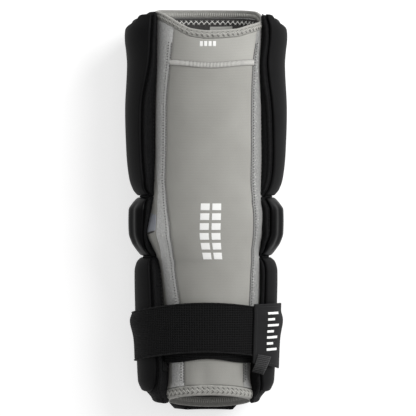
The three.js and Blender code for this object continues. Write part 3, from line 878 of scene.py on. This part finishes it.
# One padding as a closed body. quiet is the middle and width of a place where its faces lie flat.
def paddingMesh(name, rest, lowLine, highLine, quiet=None):
    shares = np.linspace(0, 1, 64)
    faceShares = np.linspace(0, 1, 9)[1:-1]
    length = float(highLine(0.0) - lowLine(0.0))
    v, factor = spanSteps(length, pads["edge"], max(24, int(length / 1.6)))
    turnShare = 2 * shares - 1  # from -1 at the left edge to 1 at the right one
    inner = np.clip(np.linspace(-117, 117, 64), -form["padInnerEnd"], form["padInnerEnd"])
    rings = []
    for t, f in zip(v, factor):
        y = lowLine(turnShare) + t * (highLine(turnShare) - lowLine(turnShare))
        left, right = tips(y, lipAt(y, -1))[0], tips(y, lipAt(y, 1))[1]
        outer = shellPoint(y, left + shares * (right - left), -form["plate"] - form["gap"], rest)
        under = sleevePoint(y, inner, form["gap"])
        middle, half = (outer + under) / 2, (outer - under) / 2
        reach = np.linalg.norm(half, axis=-1, keepdims=True)
        keep = 1 - (1 - f) * np.minimum(1, pads["edge"] / reach)
        outer, under = middle + half * keep, middle - half * keep
        faces = []
        for hand, k in ((1, -1), (-1, 0)):
            yk = y[k] + 0 * faceShares  # the face between the shell's edge and the sleeve
            swell = faceSwell(faceShares, y[k], hand) * f
            if quiet is not None:
                swell = swell * (1 - bump(yk, *quiet))
            face = valleyPoint(yk, hand, faceShares, swell, rest)
            face = face + (outer[k] - padEdge(y[k], hand, rest)) * (1 - faceShares)[:, None]
            face = face + (under[k] - sleevePoint(y[k], hand * form["padInnerEnd"], form["gap"])
                           ) * faceShares[:, None]
            faces.append(face)
        rings.append(np.concatenate([outer, faces[0], under[::-1], faces[1][::-1]]))
    rings = np.stack(rings)
    along, around = rings.shape[:2]
    grid = np.arange(along * around).reshape(along, around)
    nextOne = np.roll(grid, -1, axis=1)
    faces = np.stack([grid[:-1], nextOne[:-1], nextOne[1:], grid[1:]], -1).reshape(-1, 4).tolist()
    n, m = len(shares), len(faceShares)
    for row, flip in ((0, True), (along - 1, False)):
        line = grid[row]
        cap = [[line[k], line[k + 1], line[2 * n + m - 2 - k], line[2 * n + m - 1 - k]]
               for k in range(n - 1)]
        cap.append([line[k] for k in range(n - 1, n + m + 1)])
        cap.append([line[k % around] for k in range(2 * n + m - 1, around + 1)])
        faces += [[int(c) for c in (f[::-1] if flip else f)] for f in cap]
    spots = np.stack([np.broadcast_to(np.arange(around) * 1.6, (along, around)), rings[..., 1]], -1)
    return toMesh(name, rings.reshape(-1, 3), faces, [0] * len(faces), [padding],
                  spots.reshape(-1, 2))


def makePads():
    half = form["gap"] / 2

    def tongue(share):
        across = pads["cornerShare"] - pads["tongueShare"]
        return pads["tongue"] * smoothStep((np.abs(share) - pads["tongueShare"]) / across)

    def horned(share):
        rise = np.where(share > 0, pads["rightHorn"], pads["horn"])
        return upperEnd - pads["horn"] + rise * smoothStep((np.abs(share) - pads["hornShare"]) / 0.07)

    for name, node, rest, low, high, quiet in (
            ("foam_forearm", "forearm_pad", forearmRest, tongue, level(elbowStart - half), (57, 32)),
            ("foam_elbow", "elbow_pad", 0, level(elbowStart + half), level(elbowEnd - half), None),
            ("foam_upper", "upper_pad", 0, level(elbowEnd + half), horned, None)):
        piece = paddingMesh(name, rest, low, high, quiet)
        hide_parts(node)


# Tapes that bind the padding's edges beside the sleeve
def makeBindings():
    for name, rest, low, high in (("upper", 0, elbowEnd + 3, upperEnd - 2),
                                  ("elbow", 0, elbowStart + 3, elbowEnd - 3),
                                  ("forearm", forearmRest, 14, elbowStart - 3)):
        for hand, side in ((-1, "left"), (1, "right")):
            line = padEdge(np.linspace(low, high, 80), hand, rest)
            tape = tubeMesh(f"binding_{name}_{side}", line, pads["binding"], binding)


# The cover runs on from one padding to the next in the gaps between the shells
def makeHinges():
    reach = 0.85
    for name, y, rest in (("upper", elbowEnd, 0), ("lower", elbowStart, forearmRest / 2)):
        piece = layer(f"cover_hinge_{name}", onShell(rest), lambda y: tips(y)[0] + 2,
                      lambda y: tips(y)[1] - 2, level(y - reach), level(y + reach),
                      -form["plate"] - 1.0, 3.2, [padding], cells=(90, 8), edge=0.5, radius=60)


# Seams and a pocket slit on the padding's inner faces
def makeLiningSeams():
    for name, hand, rest, low, high, share in (
            ("upper_left", -1, 0, 196, 330, 0.62), ("upper_right", 1, 0, 196, 330, 0.62),
            ("forearm_left", -1, forearmRest, 92, 126, 0.5)):
        ys = np.arange(low, high, 3.2)
        points = valleyPoint(ys, hand, share + 0 * ys, faceSwell(share, ys, hand) + 0.2, rest)
        seam = stitchMesh(f"lining_stitch_{name}", dashes(points, 0.6), 0.6, blackThread)
    shares = np.linspace(0.12, 0.66, 20)
    swell = 4 * shares * (1 - shares) * pads["bulge"] - 0.15
    slit = valleyPoint(108.5 + 2.0 * shares, -1, shares, swell, forearmRest)
    tubeMesh("pocket_slit", slit, 0.8, binding, sides=8)


print("padding")
makePads()
makeBindings()
makeHinges()
makeLiningSeams()


# The straps
straps = {
    "height": 63.3, "width": 42, "bow": 11.2,  # the wide one's middle, from the arm's wrist end
    "bulge": 2.8, "pit": 2.0, "pitDepth": 0.45,  # its stand-off at the sides and its weave
    "tab": 1.9, "tabTop": 93.8, "tabLeft": 44, "tabRight": 37.8, "tabFrom": 100, "tabTo": 141,
    "tabSeam": 2.4,  # from the tab's edge to its seam
    "innerWidth": 38, "innerHeight": 62.5, "innerRise": 4.4,
    "landing": 0.3,  # where the inner strap meets the padding, as a share of its face
}
tabTop = form["strap"] + form["gap"] + straps["tab"]


def strapCrown(y):
    halfDepth, height = sleeveSection(y)[1:3]
    return height + halfDepth + 2 * form["gap"] + form["innerStrap"]


def strapMiddle(angle):
    return straps["height"] + straps["bow"] * ((1 - np.cos(np.radians(angle))) / 2) ** 3


def onStrap(y, angle, out):
    return shellPoint(y, angle, form["gap"] + out, forearmRest, strapCrown(y))


# The strap stands off the shell at both sides, most of all near its upper edge
def strapBulge(y, angle):
    side = bump(angle, 90, 34) + bump(angle, 270, 34)
    off = y - strapMiddle(angle)
    return side * (straps["bulge"] * bump(off, 13, 10) - 1.1 * bump(off, 21, 4))


def strapPits(y, angle):
    turn = math.pi / straps["pit"]
    pit = np.sin(turn * np.radians(angle) * 58) * np.sin(turn * (y - strapMiddle(angle)))
    return strapBulge(y, angle) - straps["pitDepth"] * np.abs(pit)


def makeWideStrap():
    half = straps["width"] / 2
    piece = layer("elastic_wide", onStrap, level(0), level(360), shifted(strapMiddle, -half),
                  shifted(strapMiddle, half), form["strap"] / 2, form["strap"], [elastic],
                  ring=True, cells=(546, 63), edge=1.3, relief=strapPits, follow=0, radius=58)
    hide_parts("forearm_strap")
    angles = np.linspace(0, 360, 241)
    sunk = 0.6 * smoothStep((np.cos(np.radians(angles)) + 0.1) / 0.9)  # so it lies flat below
    for side, sign in (("upper", 1), ("lower", -1)):
        y = strapMiddle(angles) + sign * (half - 0.7)
        line = onStrap(y, angles, form["strap"] - sunk + strapBulge(y, angles))
        edge = tubeMesh(f"selvedge_{side}", line, 0.55, selvedge, sides=6)


def tabLow(angle):
    share = (straps["tabTo"] - angle) / (straps["tabTo"] - straps["tabFrom"])
    return straps["tabLeft"] + (straps["tabRight"] - straps["tabLeft"]) * share


def tabBend(y, angle):
    return 0.8 * strapBulge(y, angle)


def makeTab():
    piece = layer("coated_tab", onStrap, level(straps["tabFrom"]), level(straps["tabTo"]), tabLow,
                  level(straps["tabTop"]), tabTop - straps["tab"] / 2, straps["tab"], [tabSkin],
                  cells=(60, 70), edge=0.9, radius=58, relief=tabBend)
    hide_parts("strap_tab")
    inset, pitch = straps["tabSeam"], 2.2
    low, high, top = straps["tabFrom"] + inset, straps["tabTo"] - inset, straps["tabTop"] - inset
    rows = []
    for a in (low, high):
        ys = np.arange(float(tabLow(a)) + inset, top, pitch)
        rows.append((ys, a + 0 * ys))
    angles = np.arange(low, high, pitch)
    rows += [(top + 0 * angles, angles), (tabLow(angles) + inset, angles)]
    ends = [dashes(onStrap(ys, a, tabTop + tabBend(ys, a)), 0.72) for ys, a in rows]
    stitchMesh("tab_seam", np.concatenate(ends), 0.5, blackThread)


# Long and short ticks printed on the tab, as on a rule
def makeTabTicks():
    ticks = {"count": 7, "low": 54, "pitch": 5.1, "wide": 2.1, "long": 16, "short": 9, "end": 127}
    for k in range(ticks["count"]):
        low, reach = ticks["low"] + ticks["pitch"] * k, ticks["short" if k % 2 else "long"]
        piece = layer(f"tab_tick_{k}", onStrap, level(ticks["end"] - reach), level(ticks["end"]),
                      level(low), level(low + ticks["wide"]), tabTop + 0.08, 0.24, [printInk],
                      cells=(14, 5), edge=0.11, radius=58, relief=tabBend)


# A line of points with its kinks evened out
def smoothLine(line, passes):
    for _ in range(passes):
        line[1:-1] = (line[:-2] + 2 * line[1:-1] + line[2:]) / 4
    return line


# A piece of elastic from rows of points on its outer and inner side. step is the width of a cell.
def bandMesh(name, node, outer, inner, material, step):
    outer, inner = np.stack(outer, 1), np.stack(inner, 1)
    across = np.arange(outer.shape[0])[:, None] * step
    spots = np.stack(np.broadcast_arrays(across, outer[..., 1]), -1)
    piece = wallMesh(name, outer, inner, [material], spots)
    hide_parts(node)
    return piece


def makeInnerStrap():
    low = straps["innerHeight"] - straps["innerWidth"] / 2
    turns, landing = np.linspace(126, 234, 60), np.array([straps["landing"]])
    outer, inner = [], []
    for share, f in zip(*spanSteps(straps["innerWidth"], 0.9, 16)):
        y = low + share * straps["innerWidth"]
        risen = y + straps["innerRise"] * (1 - share) * bump(turns, 182, 34)
        for rows, out in ((outer, 0.5 + 0.5 * f), (inner, 0.5 - 0.5 * f)):
            depth = form["gap"] + form["innerStrap"] * out
            over = sleevePoint(risen, turns, depth)
            ends = [valleyPoint(np.array([y]), hand, landing, np.array([depth])) for hand in (1, -1)]
            first = ends[0] + (over[0] - ends[0]) * np.linspace(0, 1, 9)[:-1, None]
            last = over[-1] + (ends[1] - over[-1]) * np.linspace(0, 1, 9)[1:, None]
            rows.append(smoothLine(np.concatenate([first, over, last]), 6))
    piece = bandMesh("elastic_inner", "inner_strap", outer, inner, elastic, 1.4)


# The strap's sewn ends: a patch on the padding at the left, and a ribbed piece at the right
# that runs down from the tab to the sleeve's side
def makeAnchors():
    patch = {"length": 8, "thick": 1.1, "from": 0.08, "to": 0.72, "slant": 2}
    wide = patch["to"] - patch["from"]
    top = straps["innerHeight"] - straps["innerWidth"] / 2 - form["gap"]
    shares = np.linspace(patch["from"], patch["to"], 24)
    nearest = np.minimum(shares - patch["from"], patch["to"] - shares)
    outer, inner = [], []
    for share, f in zip(*spanSteps(patch["length"], 0.9, 12)):
        y = top - patch["length"] * (1 - share) + patch["slant"] * (patch["to"] - shares) / wide
        edge = np.minimum(f, np.minimum(1, 0.35 + 8 * nearest))
        outer.append(valleyPoint(y, -1, shares, form["gap"] + patch["thick"] * (1 + edge)))
        inner.append(valleyPoint(y, -1, shares, form["gap"] + patch["thick"] * (1 - edge)))
    bandMesh("anchor_left", "strap_anchor_left", outer, inner, elastic, 0.3)

    # the right one lies over the tab's corner and then falls to the padding's edge
    ribs = {"pitch": 1.7, "height": 0.5, "thick": 1.7, "out": 4.9, "length": 17.5, "fallFrom": 0.5,
            "landing": 65.8}
    across, upward = np.linspace(0, 1, 33), np.array([0, 0, 1])
    edge = np.sqrt(np.clip(1 - (np.clip(np.abs(2 * across - 1) - 0.9, 0, 1) / 0.1) ** 2, 0.05, 1))
    outer, inner = [], []
    for t, f in zip(*spanSteps(ribs["length"], 0.9, 110)):
        middle = onStrap(51.5 - 15 * t - 2.7 * across, 137.5 + 5.1 * t - (16 - 4.4 * t) * across,
                         ribs["out"])
        fall = smoothStep((t - ribs["fallFrom"]) / (1 - ribs["fallFrom"]))
        middle[:, 2] += fall * (ribs["landing"] - middle[:, 2])
        raised = ribs["height"] * math.sin(2 * math.pi * t * ribs["length"] / ribs["pitch"])
        outer.append(middle + ((ribs["thick"] / 2 + raised) * edge * f)[:, None] * upward)
        inner.append(middle - (ribs["thick"] / 2 * edge * f)[:, None] * upward)
    bandMesh("anchor_right", "strap_anchor_right", outer, inner, ribElastic, 0.3)


print("straps")
makeWideStrap()
makeTab()
makeTabTicks()
makeInnerStrap()
makeAnchors()


# Camera, floor and lights, in metres
view = {
    "lens": 180, "place": (0.0017, 0.0018, 1.818), "aim": (0, 0, 0.03),
    "floorReach": 6, "floor": "#c8c8c8", "floorGlow": 0.62, "sky": 0.36,
    # a lamp's place, its size and its power
    "lamps": {"key": ((0.85, 0.62, 0.95), 0.8, 17), "top": ((-0.1, 0.3, 2.2), 1.6, 5)},
}


def areaLight(name, place, size, power):
    data = bpy.data.lights.new(name, "AREA")
    data.shape, data.size, data.energy = "SQUARE", size, power
    lamp = addObject(name, data)
    lamp.location = place
    way = np.array(view["aim"]) - np.array(place)
    lamp.rotation_euler = (math.acos(-way[2] / np.linalg.norm(way)), 0,
                           math.atan2(way[1], way[0]) - math.pi / 2)


def makeStudio():
    material = newMaterial("paleStudioPaper", {
        "Base Color": linear(view["floor"]), "Roughness": 0.9,
        "Emission Color": linear("#ffffff"), "Emission Strength": view["floorGlow"]})[0]
    ground = bpy.data.meshes.new("studio_floor")
    reach = view["floorReach"]
    ground.from_pydata([(-reach, -reach, 0), (reach, -reach, 0), (reach, reach, 0),
                        (-reach, reach, 0)], [], [(0, 1, 2, 3)])
    ground.materials.append(material)
    addObject("studio_floor", ground)
    world = bpy.data.worlds.new("studio")
    world.use_nodes = True
    back = world.node_tree.nodes["Background"]
    back.inputs["Color"].default_value = linear("#ffffff")
    back.inputs["Strength"].default_value = view["sky"]
    bpy.context.scene.world = world
    for name, lamp in view["lamps"].items():
        areaLight(name, *lamp)
    data = bpy.data.cameras.new("main")
    data.lens, data.sensor_width, data.clip_start, data.clip_end = view["lens"], 36, 0.05, 40
    data.dof.use_dof = False
    camera = addObject("main", data)
    camera.location = view["place"]
    bpy.context.scene.camera = camera
    bpy.context.scene.view_settings.view_transform = "Standard"


print("studio")
makeStudio()
